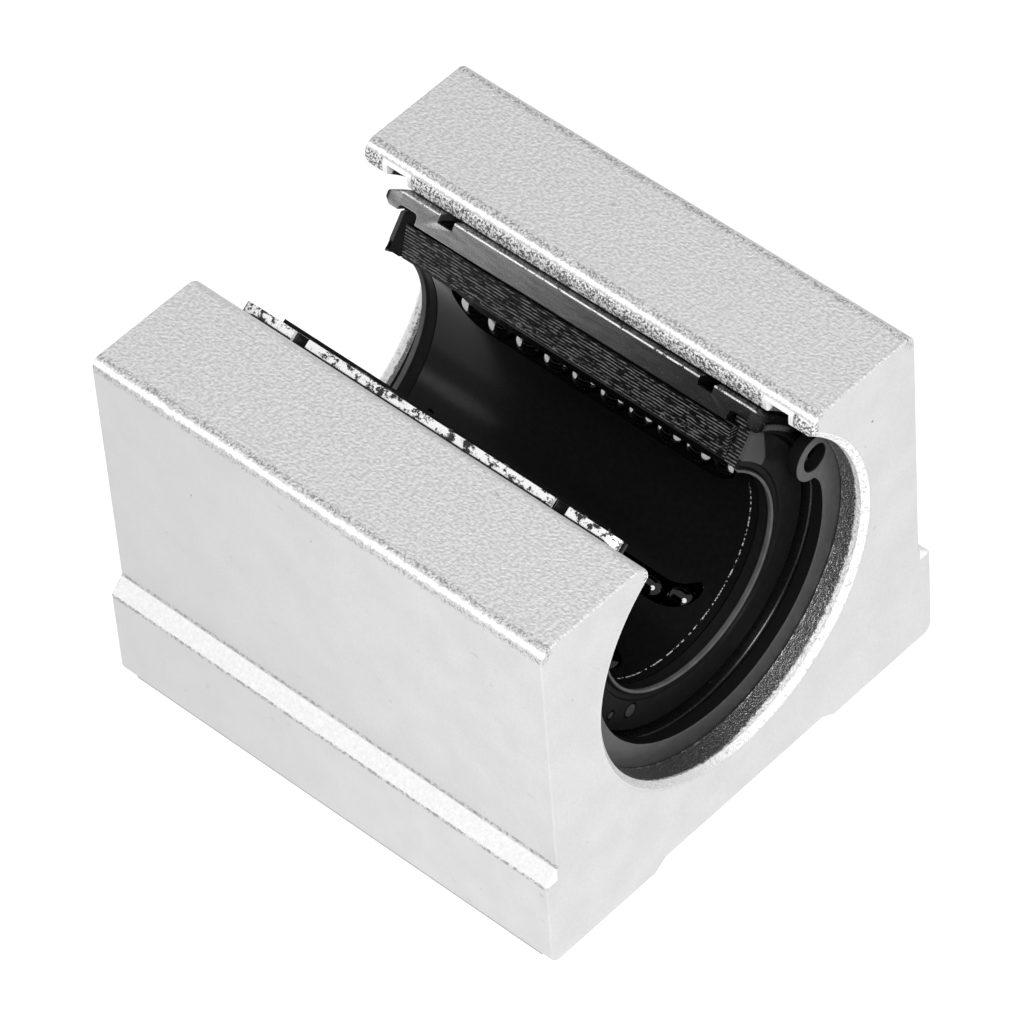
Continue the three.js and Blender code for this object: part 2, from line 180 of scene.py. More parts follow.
CIRCUITS = ["upper_right", "lower_right", "lower_left", "upper_left"]
ENDS = {"front": -1, "rear": 1}
OVERCUT = 1

# ---------------------------------------------------------------- outlines


def polar(radius, angle):
    """The (x, z) of a point round the shaft."""
    a = math.radians(angle)
    return Vector((radius * math.sin(a), AXIS_Z + radius * math.cos(a)))


def arc(centre, radius, start, stop, steps):
    middle = Vector(centre)
    angles = [math.radians(start + (stop - start) * k / steps) for k in range(steps + 1)]
    return [middle + radius * Vector((math.sin(a), math.cos(a))) for a in angles]


def shaft_arc(radius, start, stop, step=2):
    steps = max(1, round(abs(stop - start) / step))
    return arc((0, AXIS_Z), radius, start, stop, steps)


def rounded(corners, steps=4):
    """A closed outline whose corners (u, v, radius) are turned into arcs."""
    points = []
    for i, (u, v, radius) in enumerate(corners):
        here = Vector((u, v))
        back = (Vector(corners[i - 1][:2]) - here).normalized()
        ahead = (Vector(corners[(i + 1) % len(corners)][:2]) - here).normalized()
        half = back.angle(ahead) / 2
        centre = here + (back + ahead).normalized() * radius / math.sin(half)
        first = here + back * radius / math.tan(half) - centre
        last = here + ahead * radius / math.tan(half) - centre
        sweep = math.pi - 2 * half
        for k in range(steps + 1):
            a = sweep * k / steps
            points.append(centre + (first * math.sin(sweep - a) + last * math.sin(a)) / math.sin(sweep))
    return points


def mirrored(corners):
    """Corners of the left half, in order, from those of the right half."""
    return [(-c[0], *c[1:]) for c in reversed(corners)]


def inset(points, distance):
    """The outline moved inwards, with each corner along its mitre."""
    pairs = list(zip(points, points[1:] + points[:1]))
    area = sum(p.x * q.y - q.x * p.y for p, q in pairs)
    side = 1 if area > 0 else -1
    normals = [Vector((p.y - q.y, q.x - p.x)).normalized() * side for p, q in pairs]
    moved = []
    for i, point in enumerate(points):
        mitre = normals[i - 1] + normals[i]
        moved.append(point + mitre * distance / mitre.dot(normals[i]))
    return moved


def edge_stations(start, stop, reach, edge, steps=3):
    """(place, inset) pairs along a piece whose two end faces have rounded edges."""
    turns = [math.pi / 2 * k / steps for k in range(steps + 1)]
    near = [(start + reach * (1 - math.cos(a)), edge * (1 - math.sin(a))) for a in turns]
    return near + [(start + stop - place, depth) for place, depth in reversed(near)]


# ---------------------------------------------------------------- meshes


def new_object(name, vertices, faces):
    mesh = bpy.data.meshes.new(name)
    mesh.from_pydata([Vector(v) * MM for v in vertices], [], faces)
    shape = bmesh.new()
    shape.from_mesh(mesh)
    bmesh.ops.remove_doubles(shape, verts=shape.verts, dist=1e-7)
    bmesh.ops.recalc_face_normals(shape, faces=shape.faces)
    caps = [face for face in shape.faces if len(face.verts) > 4]
    bmesh.ops.triangulate(shape, faces=caps)
    shape.to_mesh(mesh)
    shape.free()
    piece = bpy.data.objects.new(name, mesh)
    bpy.context.scene.collection.objects.link(piece)
    return piece


def loft(name, sections, closed=False):
    """Joins closed sections of 3D points, with a flat cap on each end unless closed."""
    count = len(sections[0])
    faces = []
    for s in range(len(sections) if closed else len(sections) - 1):
        a = s * count
        b = (s + 1) % len(sections) * count
        for i in range(count):
            j = (i + 1) % count
            faces.append((a + i, a + j, b + j, b + i))
    if not closed:
        last = (len(sections) - 1) * count
        faces.append(tuple(range(count)))
        faces.append(tuple(range(last, last + count)))
    return new_object(name, [point for section in sections for point in section], faces)


def prism(name, outline, y0, y1, edge=0.0):
    """An outline in (x, z), run along Y, with its end edges rounded."""
    stations = edge_stations(y0, y1, edge, edge) if edge else [(y0, 0), (y1, 0)]
    sections = []
    for y, depth in stations:
        points = inset(outline, depth) if depth else outline
        sections.append([(p.x, y, p.y) for p in points])
    return loft(name, sections)


def around(profile, angle):
    """A section of (radius, y) points, stood up at an angle round the shaft."""
    section = []
    for radius, y in profile:
        x, z = polar(radius, angle)
        section.append((x, y, z))
    return section


def open_ring(name, profile_at, start, stop, edge, marks=()):
    """A C-shaped ring round the shaft, whose two cut faces have rounded edges."""
    reach = math.degrees(edge / BORE_RADIUS)
    stations = edge_stations(start, stop, reach, edge)
    ends = len(stations) // 2
    first, last = stations[ends - 1][0], stations[ends][0]
    steps = round((last - first) / 2)
    inner = {first + (last - first) * k / steps for k in range(1, steps)}
    between = [(angle, 0) for angle in sorted(inner.union(marks))]
    sections = []
    for angle, depth in stations[:ends] + between + stations[ends:]:
        points = [Vector(p) for p in profile_at(angle)]
        sections.append(around(inset(points, depth) if depth else points, angle))
    return loft(name, sections)


def turned(name, profile, steps=180):
    """A profile of (radius, y) points turned round the shaft."""
    return loft(name, [around(profile, 360 * k / steps) for k in range(steps)], closed=True)


def turned_at(name, profile, origin, axis, steps=48):
    """A profile of (radius, height) points turned round any axis through an origin."""
    frame_turn = Vector((0, 0, 1)).rotation_difference(Vector(axis)).to_matrix()
    sections = []
    for k in range(steps):
        a = 2 * math.pi * k / steps
        ring = [Vector((r * math.cos(a), r * math.sin(a), h)) for r, h in profile]
        sections.append([Vector(origin) + frame_turn @ point for point in ring])
    return loft(name, sections, closed=True)


def threaded(name, centre, root, crest, pitch, low, high, limits, tip=0.0, sides=32, rings=8):
    """An upright screw thread. limits gives the least and greatest radius at a height."""
    count = round((high - low) / pitch * rings)
    sections = []
    for k in range(count + 1):
        z = low + (high - low) * k / count
        least, greatest = limits(z)
        section = []
        for i in range(sides):
            phase = (z / pitch - i / sides) % 1
            ridge = min(1, 1.25 * (1 - abs(2 * phase - 1)))
            radius = min(max(root + (crest - root) * ridge, least), greatest)
            a = 2 * math.pi * i / sides
            section.append((centre[0] + radius * math.cos(a), centre[1] + radius * math.sin(a), z))
        sections.append(section)
    if tip:
        point = Vector((*centre, high + tip))
        sections.append([point + (Vector((x, y, point.z)) - point) * 0.02 for x, y, _ in sections[-1]])
    return loft(name, sections)


def cut(piece, *cutters):
    """Takes each cutter away from the piece, then removes the cutters."""
    for cutter in cutters:
        modifier = piece.modifiers.new("cut", "BOOLEAN")
        modifier.operation = "DIFFERENCE"
        modifier.solver = "EXACT"
        modifier.object = cutter
    bpy.context.view_layer.update()
    graph = bpy.context.evaluated_depsgraph_get()
    mesh = bpy.data.meshes.new_from_object(piece.evaluated_get(graph))
    piece.modifiers.clear()
    piece.data = mesh
    for cutter in cutters:
        bpy.data.objects.remove(cutter)
    return piece


def finished(piece, material, slot, body, *nodes, sharp=30):
    """Shades a piece, gives it its material, ties it to its body and hides the CAD nodes that it stands
    for.
    """
    piece.data.shade_smooth()
    piece.data.set_sharp_from_angle(angle=math.radians(sharp))
    weighted = piece.modifiers.new("weighted normals", "WEIGHTED_NORMAL")
    weighted.keep_sharp = True
    piece.data.materials.clear()
    piece.data.materials.append(material)
    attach(piece, body)
    if nodes:
        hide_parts(*nodes)
    return piece


# ---------------------------------------------------------------- materials


class Surface:
    """A node material. Its methods add nodes and hand back the sockets that they feed."""

    def __init__(self, name, color, roughness, metallic=0.0):
        self.material = bpy.data.materials.new(name)
        self.material.use_nodes = True
        self.tree = self.material.node_tree
        self.shader = self.tree.nodes["Principled BSDF"]
        self.set("Base Color", (*color, 1))
        self.set("Roughness", roughness)
        self.set("Metallic", metallic)
        coordinates = self.node("TexCoord").outputs["Object"]
        scale = {"Vector": coordinates, "Scale": (1 / MM,) * 3}
        self.place = self.node("Mapping", scale).outputs["Vector"]
        axes = self.node("SeparateXYZ", {"Vector": self.place}).outputs
        self.x, self.y, self.z = axes["X"], axes["Y"], axes["Z"]

    def plug(self, socket, value):
        if isinstance(value, bpy.types.NodeSocket):
            self.tree.links.new(value, socket)
        else:
            socket.default_value = value

    def set(self, socket, value):
        self.plug(self.shader.inputs[socket], value)

    def node(self, kind, inputs=None, **settings):
        made = self.tree.nodes.new("ShaderNode" + kind)
        for name, value in settings.items():
            setattr(made, name, value)
        for name, value in (inputs or {}).items():
            self.plug(made.inputs[name], value)
        return made

    def math(self, operation, a, b=0.0, c=0.0):
        return self.node("Math", {0: a, 1: b, 2: c}, operation=operation).outputs[0]

    def product(self, *factors):
        result = factors[0]
        for factor in factors[1:]:
            result = self.math("MULTIPLY", result, factor)
        return result

    def greatest(self, *values):
        result = values[0]
        for value in values[1:]:
            result = self.math("MAXIMUM", result, value)
        return result

    def opposite(self, factor):
        return self.math("SUBTRACT", 1.0, factor)

    def off(self, value, middle):
        """How far a value is from a middle value, on either side."""
        return self.math("ABSOLUTE", self.math("SUBTRACT", value, middle))

    def band(self, value, low, high):
        """0 at low, 1 at high and smooth between them, whichever is greater."""
        limits = {"Value": value, "From Min": low, "From Max": high}
        return self.node("MapRange", limits, interpolation_type="SMOOTHSTEP").outputs["Result"]

    def window(self, value, rise, fall):
        """1 between two bands, given as (low, high) pairs, and 0 outside them."""
        return self.product(self.band(value, *rise), self.band(value, *fall))

    def stretched(self, stretch):
        return self.node("Mapping", {"Vector": self.place, "Scale": stretch}).outputs["Vector"]

    def noise(self, scale, detail=2.0, roughness=0.5, stretch=(1, 1, 1)):
        inputs = {"Scale": scale, "Detail": detail, "Roughness": roughness}
        inputs["Vector"] = self.stretched(stretch)
        return self.node("TexNoise", inputs).outputs["Fac"]

    def cells(self, scale, randomness=1.0):
        """Distance to the nearest of scattered points."""
        inputs = {"Vector": self.place, "Scale": scale, "Randomness": randomness}
        return self.node("TexVoronoi", inputs).outputs["Distance"]

    def mix(self, factor, a, b):
        made = self.tree.nodes.new("ShaderNodeMix")
        made.data_type = "RGBA"
        self.plug(made.inputs[0], factor)
        self.plug(made.inputs[6], (*a, 1) if isinstance(a, tuple) else a)
        self.plug(made.inputs[7], (*b, 1) if isinstance(b, tuple) else b)
        return made.outputs[2]

    def between(self, factor, a, b):
        """A number from a to b."""
        made = self.node("MapRange", {"Value": factor, "To Min": a, "To Max": b})
        return made.outputs["Result"]

    def bump(self, height, distance, strength=1.0, below=None):
        inputs = {"Height": height, "Distance": distance * MM, "Strength": strength}
        if below is not None:
            inputs["Normal"] = below
        return self.node("Bump", inputs).outputs["Normal"]

    def from_axis(self):
        """Distance from the shaft's centre line."""
        across = self.math("POWER", self.x, 2.0)
        up = self.math("POWER", self.math("SUBTRACT", self.z, AXIS_Z), 2.0)
        return self.math("SQRT", self.math("ADD", across, up))

    def from_line(self, x, z):
        """Distance from the two lines along Y through (x, z) and (-x, z)."""
        across = self.math("POWER", self.math("SUBTRACT", self.math("ABSOLUTE", self.x), x), 2.0)
        up = self.math("POWER", self.math("SUBTRACT", self.z, z), 2.0)
        return self.math("SQRT", self.math("ADD", across, up))


def grey(value):
    return (value, value, value * 1.01)


class BlockMarks:
    """Where the worn, rough and machined places of the aluminium block are, and where highlights are
    painted on it, from 0 to 1.
    """

    def __init__(self, s):
        self.radius = s.from_axis()
        self.side = s.math("ABSOLUTE", s.x)
        self.along = s.math("ABSOLUTE", s.y)
        self.right = s.band(s.x, -1, 1)
        self.top = s.band(s.z, HEIGHT - 0.25, HEIGHT - 0.05)
        self.specks = s.noise(2.6, 3, 0.8)
        self.waves = s.noise(3.8, 3, 0.5, (1, 0.7, 1))
        self.fine = s.noise(4.8, 2, 0.7)
        self.grain = s.noise(5.5, 2, 0.6)
        self.pits = s.product(s.band(s.cells(0.22), 0.034, 0.018), s.band(s.noise(0.12), 0.45, 0.55))
        self.mark_top_edges(s)
        self.mark_slot(s)
        self.mark_step(s)
        self.mark_mouth(s)
        self.rims = s.greatest(self.step_rims, self.shoulder_rim, self.nose_rim)
        # bright gathers the painted highlights on the slot's nose and top edges, and the clean lip.
        self.bright = s.greatest(self.worn_lit_shoulder, self.lit_nose, self.clean_lip)

    def mark_top_edges(self, s):
        """The worn outer top edges, with a painted highlight that makes them brighter on the left, and
        the dark rim along each.
        """
        edge = s.from_line(BODY_HALF_WIDTH - 0.27, HEIGHT - 0.27)
        ragged = s.math("ADD", edge, s.between(self.specks, -0.4, 0.45))
        # Partly wear, partly painted highlight: the edge is whiter on the left, where the light falls.
        self.worn_lit_shoulder = s.product(s.band(ragged, 0.3, 0.18), s.between(self.right, 1, 0.25))
        broken = s.band(self.fine, 0.46, 0.6)
        self.shoulder_rim = s.product(s.window(ragged, (0.35, 0.5), (1.2, 0.7)), broken)

    def mark_slot(self, s):
        """The round nose of the slot with its painted highlight, strongest on the right, the dark rim
        above it and the lip below it.

        The lip is rough, except where the snap-ring grooves of the bore come through it.
        """
        wall = (SLOT_HALF_WIDTH + 0.7, SLOT_HALF_WIDTH + 0.55)
        fold = HEIGHT - 0.5
        outside_bore = s.band(self.radius, BORE_RADIUS - 0.1, BORE_RADIUS + 0.05)
        slot = s.product(outside_bore, s.band(s.z, HEIGHT - 4.6, HEIGHT - 4.1))
        ragged_side = s.math("ADD", self.side, s.between(self.fine, -0.25, 0.25))
        ragged_height = s.math("ADD", s.z, s.between(self.fine, -0.3, 0.3))
        # Painted highlight: a white band along the nose of the slot, strongest on the right.
        lit_nose = s.product(s.band(ragged_side, *wall), s.band(ragged_height, fold, fold + 0.15))
        self.lit_nose = s.product(lit_nose, slot, s.between(self.right, 0.3, 1))
        rim = s.band(s.from_line(SLOT_HALF_WIDTH + 1, HEIGHT), 0.5, 0.2)
        self.nose_rim = s.product(rim, s.band(self.fine, 0.46, 0.6), self.right)
        self.lip = s.product(s.band(self.side, *wall), s.band(s.z, fold, fold - 0.15), slot)
        rise = (RING_GROOVE_INNER_Y - 0.6, RING_GROOVE_INNER_Y - 0.3)
        fall = (RING_GROOVE_OUTER_Y + 0.65, RING_GROOVE_OUTER_Y + 0.45)
        by_groove = s.window(self.along, rise, fall)
        self.clean_lip = s.product(self.lip, by_groove)
        self.rough_lip = s.product(self.lip, s.opposite(by_groove))

    def mark_step(self, s):
        """The slanted step along both sides, and the broken dark rims above and below it."""
        rise = (STEP_BOTTOM_Z - 0.05, STEP_BOTTOM_Z + 0.05)
        fall = (STEP_TOP_Z + 0.05, STEP_TOP_Z - 0.05)
        slant = s.band(self.side, BODY_HALF_WIDTH + 0.02, BODY_HALF_WIDTH + 0.12)
        self.step = s.product(slant, s.window(s.z, rise, fall))
        upper = s.band(s.from_line(BODY_HALF_WIDTH, STEP_TOP_Z + 0.2), 0.25, 0.15)
        lower = s.band(s.from_line(BASE_HALF_WIDTH, STEP_BOTTOM_Z - 0.12), 0.24, 0.14)
        self.step_rims = s.product(s.greatest(upper, lower), s.band(self.specks, 0.44, 0.56))

    def mark_mouth(self, s):
        """The bore's chamfer, wider towards the right as part of its painted highlight, the machined
        wall inside it and the edge of the ring groove.
        """
        # Painted highlight: the chamfer's bright band reaches further on the right.
        worn = s.between(s.band(s.x, -3, 4), 0, 0.45)
        mouth = s.math("ADD", s.math("ADD", self.along, worn), s.between(self.specks, -0.35, 0.35))
        inner, outer = HALF_LENGTH - 0.7, HALF_LENGTH - 0.55
        chamfer_radius = BORE_RADIUS + BORE_CHAMFER
        ring = s.band(self.radius, chamfer_radius + 0.25, chamfer_radius)
        self.chamfer = s.product(ring, s.band(mouth, inner, outer))
        within = s.band(self.radius, RING_GROOVE_RADIUS + 0.13, RING_GROOVE_RADIUS + 0.05)
        below_slot = s.band(s.z, HEIGHT - 2.1, HEIGHT - 2.3)
        self.wall = s.product(within, s.band(mouth, outer, inner), below_slot)
        rise = (RING_GROOVE_OUTER_Y - 0.02, RING_GROOVE_OUTER_Y)
        fall = (RING_GROOVE_OUTER_Y + 0.25, RING_GROOVE_OUTER_Y + 0.1)
        corner = s.band(self.radius, BORE_RADIUS + 0.2, BORE_RADIUS + 0.1)
        self.groove_edge = s.product(corner, s.window(self.along, rise, fall))


def plain_block_colour(s, marks):
    """The colour of the aluminium before its edges: the wavy top, strokes, pits and a painted shade on
    the left face.
    """
    base = s.mix(s.band(s.noise(0.25, 3, 0.5), 0.3, 0.7), grey(0.6), grey(0.64))
    base = s.mix(s.product(s.band(marks.grain, 0.4, 0.7), 0.25), base, grey(0.5))
    top = s.mix(s.band(marks.waves, 0.3, 0.68), grey(0.61), grey(0.79))
    base = s.mix(marks.top, base, top)
    strokes = s.band(s.noise(1.2, 2, 0.5, (1, 0.5, 1)), 0.7, 0.76)
    base = s.mix(s.product(strokes, 0.3), base, grey(0.3))
    base = s.mix(s.product(marks.pits, 0.8), base, grey(0.1))
    # Painted shade: the left face gets darker towards the rear.
    left_face = s.band(s.x, 0.2 - BODY_HALF_WIDTH, 0.1 - BODY_HALF_WIDTH)
    to_rear = s.band(s.y, 1 - HALF_LENGTH, HALF_LENGTH - 1)
    return s.mix(s.product(to_rear, left_face, 0.5), base, grey(0.49))


def block_colour(s, marks):
    # Painted highlights and wear: the nose, top edges and clean lip are whitened.
    base = s.mix(marks.bright, plain_block_colour(s, marks), grey(1.0))
    base = s.mix(marks.step, base, s.mix(marks.specks, grey(0.62), grey(1.0)))
    # Wear and painted highlight: the chamfer is whiter towards the right.
    worn_and_lit_chamfer = s.product(marks.chamfer, s.between(s.band(s.x, -6, 2), 0.25, 1))
    bare = s.mix(s.band(marks.specks, 0.36, 0.5), grey(0.6), grey(1.0))
    base = s.mix(worn_and_lit_chamfer, base, bare)
    base = s.mix(marks.rims, base, grey(0.3))
    torn = s.mix(s.band(marks.fine, 0.43, 0.56), grey(0.12), grey(1.0))
    base = s.mix(marks.rough_lip, base, torn)
    # Painted glints on the dark machined wall, brighter higher up.
    sparkle = s.band(s.noise(8.0, 2, 0.7), 0.5, 0.62)
    painted_glints = s.product(sparkle, s.between(s.band(s.z, 10, 16), 0.28, 0.8))
    base = s.mix(marks.wall, base, s.mix(painted_glints, grey(0.17), grey(0.9)))
    patchy = s.band(s.noise(0.9, 4, 0.65), 0.5, 0.58)
    return s.mix(s.product(marks.groove_edge, patchy), base, grey(0.6))


def block_relief(s, marks):
    """The wavy top, the blasted grain, the pits and the coarse bore mouth and lip."""
    peel = s.bump(marks.waves, 0.22, s.between(marks.top, 0.05, 0.9))
    blasted = s.bump(marks.grain, 0.02, 0.5, peel)
    pitted = s.bump(s.product(marks.pits, -1.0), 0.05, 1.0, blasted)
    coarse = s.greatest(marks.rough_lip, marks.chamfer, s.product(marks.wall, 0.9))
    return s.bump(s.product(coarse, s.noise(3.0, 3, 0.8)), 0.22, 0.9, pitted)


def block_material():
    s = Surface("block_aluminium", grey(0.64), 0.5, 0.35)
    marks = BlockMarks(s)
    worn = s.greatest(marks.bright, marks.lip)
    s.set("Base Color", block_colour(s, marks))
    s.set("Metallic", s.between(worn, s.between(marks.wall, 0.35, 0.95), 0.1))
    s.set("Roughness", s.between(marks.wall, s.between(marks.grain, 0.42, 0.6), 0.32))
    s.set("Normal", block_relief(s, marks))
    return s.material


def sleeve_faces(s, radius, along):
    """The ground cut faces, painted darker towards the front as shade, with a painted highlight along
    the edge on the right and painted shade on the end chamfer.
    """
    brushed = s.band(s.noise(1.2, 4, 0.7, (2.5, 0.35, 2.5)), 0.3, 0.7)
    # Painted shade: the cut faces are dark towards the front and lighter towards the rear.
    front = s.mix(brushed, grey(0.03), grey(0.045))
    rear = s.mix(brushed, grey(0.26), grey(0.4))
    faces = s.mix(s.band(s.y, -16, SLEEVE_HALF_LENGTH), front, rear)
    scuffs = s.band(s.noise(2.4, 4, 0.75), 0.64, 0.7)
    faces = s.mix(s.product(scuffs, 0.5), faces, grey(0.3))
    # Painted highlight: a thin broken bright line along the right-hand corner of the cut face.
    corner = polar(SLEEVE_RADIUS - 0.06, SLEEVE_CUT_ANGLE)
    edge = s.band(s.from_line(corner.x, corner.y), 0.13, 0.07)
    broken = s.band(s.noise(1.1, 3, 0.7), 0.36, 0.46)
    faces = s.mix(s.product(edge, broken, s.band(s.x, 0, 1)), faces, grey(0.95))
    # Painted shade on the end chamfer of the sleeve.
    end = s.band(along, SLEEVE_HALF_LENGTH - 0.5, SLEEVE_HALF_LENGTH - 0.1)
    return s.mix(s.product(end, s.band(radius, 15.7, 15.5)), faces, grey(0.006))


def sleeve_groove_shade(s, radius, along):
    """Where shade is painted: the floor of each snap-ring groove."""
    outer = SLEEVE_GROOVE_SPAN / 2
    inner = outer - SLEEVE_GROOVE_WIDTH
    across = s.window(along, (inner - 0.15, inner + 0.05), (outer + 0.15, outer - 0.05))
    rise = (SLEEVE_GROOVE_RADIUS - 0.09, SLEEVE_GROOVE_RADIUS - 0.03)
    fall = (SLEEVE_GROOVE_RADIUS + 0.15, SLEEVE_GROOVE_RADIUS + 0.07)
    return s.product(s.window(radius, rise, fall), across)


def sleeve_material():
    s = Surface("sleeve_steel", grey(0.1), 0.28, 0.9)
    along = s.math("ABSOLUTE", s.y)
    radius = s.from_axis()
    # Painted light and shade: the outside is painted bright only on the left; on the right it keeps the
    # dark colour of the faces.
    beyond_groove = s.band(radius, SLEEVE_GROOVE_RADIUS + 0.2, SLEEVE_GROOVE_RADIUS + 0.27)
    lit_left_outside = s.product(beyond_groove, s.band(s.x, 0, -1))
    scale = s.band(s.noise(1.3, 5, 0.75, (1, 0.8, 1)), 0.5, 0.56)
    ground = s.mix(scale, grey(0.95), grey(0.03))
    faces = sleeve_faces(s, radius, along)
    # Painted shade: the groove floors, a shadow line where the block's lip meets the sleeve, and a dark
    # line near each end of the outside.
    far_edge = s.band(along, SLEEVE_HALF_LENGTH - 0.28, SLEEVE_HALF_LENGTH - 0.2)
    outline = s.greatest(s.band(s.x, -9.2, -9.28), far_edge)
    painted_shade = s.greatest(sleeve_groove_shade(s, radius, along), s.product(outline, lit_left_outside))
    s.set("Base Color", s.mix(painted_shade, s.mix(lit_left_outside, faces, ground), grey(0.012)))
    s.set("Metallic", s.between(lit_left_outside, 0.9, 0.25))
    s.set("Roughness", s.between(s.noise(2.5, 3, 0.6), 0.2, 0.34))
    lines = s.noise(1.0, 3, 0.7, (0.4, 9, 0.4))
    fine = s.bump(lines, 0.004, 0.4)
    s.set("Normal", s.bump(s.noise(2.2, 3, 0.6), 0.006, 0.4, fine))
    return s.material


def streaks(s):
    """Broken light streaks that run along the shaft."""
    return s.band(s.noise(4.0, 2, 0.7, (1, 0.25, 1)), 0.4, 0.54)


def retainer_ridges(s):
    """The light that catches the ridges of the cut faces, and the chips near their inner edge."""
    bottom = polar(RETAINER_BORE_RADIUS, RETAINER_INNER_CUT_ANGLE)
    run = polar(RETAINER_RADIUS, SLEEVE_CUT_ANGLE) - bottom
    side = s.math("SUBTRACT", s.math("ABSOLUTE", s.x), bottom.x)
    up = s.math("SUBTRACT", s.z, bottom.y)
    across = s.math("MULTIPLY", side, run.x / run.length_squared)
    height = s.math("ADD", across, s.math("MULTIPLY", up, run.y / run.length_squared))
    uneven = s.product(s.noise(0.8, 3, 0.7), 0.8)
    ridges = s.math("ADD", s.product(height, float(RIB_COUNT)), uneven)
    crest = s.product(s.band(s.off(s.math("FRACT", ridges), 0.5), 0.2, 0.08), streaks(s))
    broken = s.band(s.noise(2.4, 4, 0.8, (1, 0.7, 1)), 0.56, 0.62)
    return s.greatest(crest, s.product(s.band(height, 0.45, 0.2), broken))


def retainer_seam_highlight(s, inside):
    """A painted highlight: a dotted bright line round the lower bore, in front of the seal."""
    line = s.window(s.y, (-17.46, -17.41), (-17.3, -17.35))
    low = s.band(s.z, AXIS_Z + 2, AXIS_Z)
    return s.product(line, low, inside, s.band(s.noise(3.0, 2, 0.6), 0.46, 0.54))


def retainer_material():
    s = Surface("retainer_plastic", grey(0.006), 0.2)
    s.set("Specular IOR Level", s.between(s.band(s.y, -16, 8), 0.04, 0.16))
    inside = s.band(s.from_axis(), RETAINER_BORE_RADIUS + 0.25, RETAINER_BORE_RADIUS + 0.1)
    cut_face = s.product(s.opposite(inside), s.band(s.z, AXIS_Z + 7, AXIS_Z + 7.5))
    lit = s.product(retainer_ridges(s), cut_face)
    base = s.mix(s.noise(2.0, 3, 0.6), grey(0.003), grey(0.008))
    base = s.mix(lit, base, grey(0.14))
    s.set("Base Color", s.mix(retainer_seam_highlight(s, inside), base, grey(0.5)))
    rough = s.between(s.noise(1.1, 4, 0.6), 0.3, 0.5)
    polished = s.between(s.noise(0.35, 5, 0.7), 0.12, 0.3)
    s.set("Roughness", s.between(inside, rough, polished))
    drag = s.noise(2.0, 4, 0.75, (3, 0.35, 3))
    s.set("Normal", s.bump(drag, 0.05, s.between(inside, 0.9, 0.03)))
    return s.material


def seal_from_cut(s):
    """Distance from the nearer cut face of the seal."""
    cut_angle = math.radians(SEAL_CUT_ANGLE)
    across = s.math("MULTIPLY", s.math("ABSOLUTE", s.x), math.cos(cut_angle))
    up = s.math("MULTIPLY", s.math("SUBTRACT", s.z, AXIS_Z), math.sin(cut_angle))
    return s.math("SUBTRACT", across, up)


def seal_sheen_patch(s, radius, face, from_cut):
    """A ragged patch of painted reflection beside the right-hand cut."""
    ragged = s.math("ADD", from_cut, s.between(s.noise(0.9, 4, 0.75), -1.4, 1.4))
    beyond_lip = s.band(radius, 11.15, 11.25)
    corner = s.band(s.math("ADD", radius, from_cut), 15.4, 15)
    return s.product(beyond_lip, corner, face, s.band(ragged, 3.4, 3.1), s.band(s.x, 0, 1))


def seal_pip_highlights(s, face):
    """Painted highlights on the tops of the moulded pips, on the left half of the seal."""
    pips = 0.0
    for place, angle, size in PIPS:
        x, z = polar(place, angle)
        disc = s.band(s.from_line(-x, z), size, size - 0.06)
        pips = s.greatest(pips, s.product(disc, s.band(s.x, 0, -1), face))
    return pips


def seal_material():
    s = Surface("seal_rubber", grey(0.005), 0.35)
    s.set("Specular IOR Level", 0.02)
    radius = s.from_axis()
    face = s.band(s.math("ABSOLUTE", s.y), SEAL_OUTER_Y - 0.5, SEAL_OUTER_Y - 0.4)
    from_cut = seal_from_cut(s)
    # Painted reflection beside the right-hand cut, and painted highlights on the pips.
    painted_highlights = s.greatest(seal_sheen_patch(s, radius, face, from_cut), s.product(seal_pip_highlights(s, face), 0.6))
    # Painted highlight along the edge of the lip.
    lip = s.product(s.band(radius, 10.42, 10.34), face, s.between(s.noise(0.7, 2, 0.6), 0.4, 1.2))
    # Painted highlights of ridges drawn on the front cut face, which has no ridges of its own.
    ridges = s.math("MULTIPLY_ADD", radius, 3.235, 0.48)
    crest = s.band(s.off(s.math("FRACT", ridges), 0.5), 0.22, 0.1)
    front_cut = s.product(s.band(from_cut, 0.12, 0.06), s.band(s.y, 0, -1), s.opposite(face))
    base = s.mix(s.noise(1.6, 3, 0.5), grey(0.006), grey(0.013))
    base = s.mix(painted_highlights, base, grey(0.06))
    base = s.mix(s.product(lip, 0.7), base, grey(0.16))
    s.set("Base Color", s.mix(s.product(crest, front_cut, streaks(s)), base, grey(0.14)))
    s.set("Roughness", s.between(s.noise(0.9, 4, 0.6), 0.2, 0.42))
    s.set("Normal", s.bump(s.noise(3.5, 3, 0.6), 0.012, 0.6))
    return s.material


def ring_material():
    s = Surface("spring_steel", grey(0.1), 0.42, 0.6)
    along = s.math("ABSOLUTE", s.y)
    outer_face = s.band(along, RING_OUTER_Y - 0.06, RING_OUTER_Y - 0.02)
    faces = s.greatest(outer_face, s.band(along, RING_INNER_Y + 0.06, RING_INNER_Y + 0.02))
    worn = s.mix(s.noise(1.5, 4, 0.6), grey(0.055), grey(0.1))
    s.set("Base Color", s.mix(faces, grey(0.008), worn))
    s.set("Specular IOR Level", s.between(faces, 0.02, 0.5))
    s.set("Metallic", s.between(faces, 0.2, 0.6))
    s.set("Roughness", s.between(s.noise(4.0, 3, 0.6), 0.34, 0.5))
    s.set("Normal", s.bump(s.noise(6.0, 3, 0.6), 0.008, 0.6))
    return s.material


